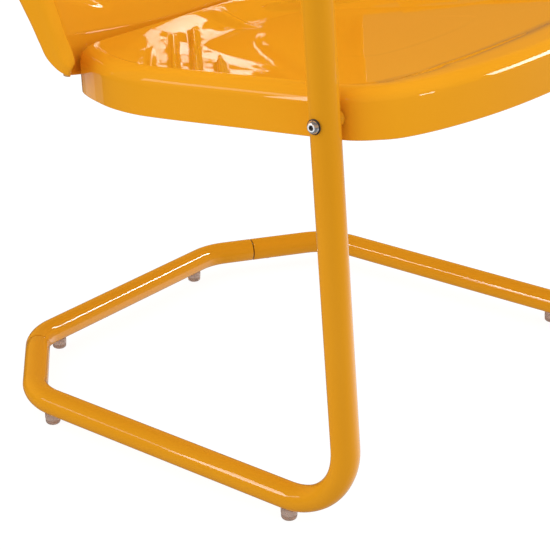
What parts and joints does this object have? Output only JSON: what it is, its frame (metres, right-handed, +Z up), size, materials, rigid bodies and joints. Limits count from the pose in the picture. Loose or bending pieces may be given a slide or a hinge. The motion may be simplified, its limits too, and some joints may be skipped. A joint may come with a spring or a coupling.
{
  "type": "metal spring lawn chair",
  "caption": "Retro patio chair with a pressed metal seat and shell back bolted between two bent steel side tubes that spring on a low base.",
  "frame": {"origin": "on the floor, under the middle of the chair's bounding box", "axes": "+Z up, the sitter faces -Y; left in a node name is -X, as seen by someone facing the chair"},
  "size_m": [0.5444, 0.6922, 0.854],
  "materials": {
    "painted_steel": "gloss",
    "zinc_steel": "polished",
    "glide_plastic": "satin, slightly translucent",
    "cap_plastic": "satin"
  },
  "bodies": {
    "base": {"coupling_sleeve_left": "zinc_steel", "coupling_sleeve_right": "zinc_steel", "foot_glide_front_left": "glide_plastic", "foot_glide_front_right": "glide_plastic", "foot_glide_middle_left": "glide_plastic", "foot_glide_middle_right": "glide_plastic", "foot_glide_rear_left": "glide_plastic", "foot_glide_rear_right": "glide_plastic", "joint_screw_left": "zinc_steel", "joint_screw_right": "zinc_steel", "rear_crossbar": "painted_steel", "side_rail_left": "painted_steel", "side_rail_right": "painted_steel"},
    "upper": {"arm_end_cap_left": "cap_plastic", "arm_end_cap_right": "cap_plastic", "arm_front_bolt_left": "zinc_steel", "arm_front_bolt_right": "zinc_steel", "arm_front_nut_left": "zinc_steel", "arm_front_nut_right": "zinc_steel", "arm_front_spacer_left": "painted_steel", "arm_front_spacer_right": "painted_steel", "arm_front_washer_left": "zinc_steel", "arm_front_washer_right": "zinc_steel", "arm_rear_bolt_left": "zinc_steel", "arm_rear_bolt_right": "zinc_steel", "arm_rear_nut_left": "zinc_steel", "arm_rear_nut_right": "zinc_steel", "arm_rear_spacer_left": "painted_steel", "arm_rear_spacer_right": "painted_steel", "arm_rear_washer_left": "zinc_steel", "arm_rear_washer_right": "zinc_steel", "back_bolt_left": "zinc_steel", "back_bolt_middle": "zinc_steel", "back_bolt_right": "zinc_steel", "back_nut_left": "zinc_steel", "back_nut_middle": "zinc_steel", "back_nut_right": "zinc_steel", "back_panel": "painted_steel", "seat_bolt_left": "zinc_steel", "seat_bolt_right": "zinc_steel", "seat_nut_left": "zinc_steel", "seat_nut_right": "zinc_steel", "seat_pan": "painted_steel", "seat_spacer_left": "painted_steel", "seat_spacer_right": "painted_steel", "seat_washer_left": "zinc_steel", "seat_washer_right": "zinc_steel", "upright_arm_left": "painted_steel", "upright_arm_right": "painted_steel"}
  },
  "joints": [
    {"name": "frame_spring", "type": "hinge", "parent": "base", "child": "upper", "pos_m": [0, -0.24166, 0.02573], "axis": [-1, 0, 0], "range_deg": [-1, 4], "stiffness_Nm_per_rad": 3000, "springref_deg": -0.36}
  ]
}
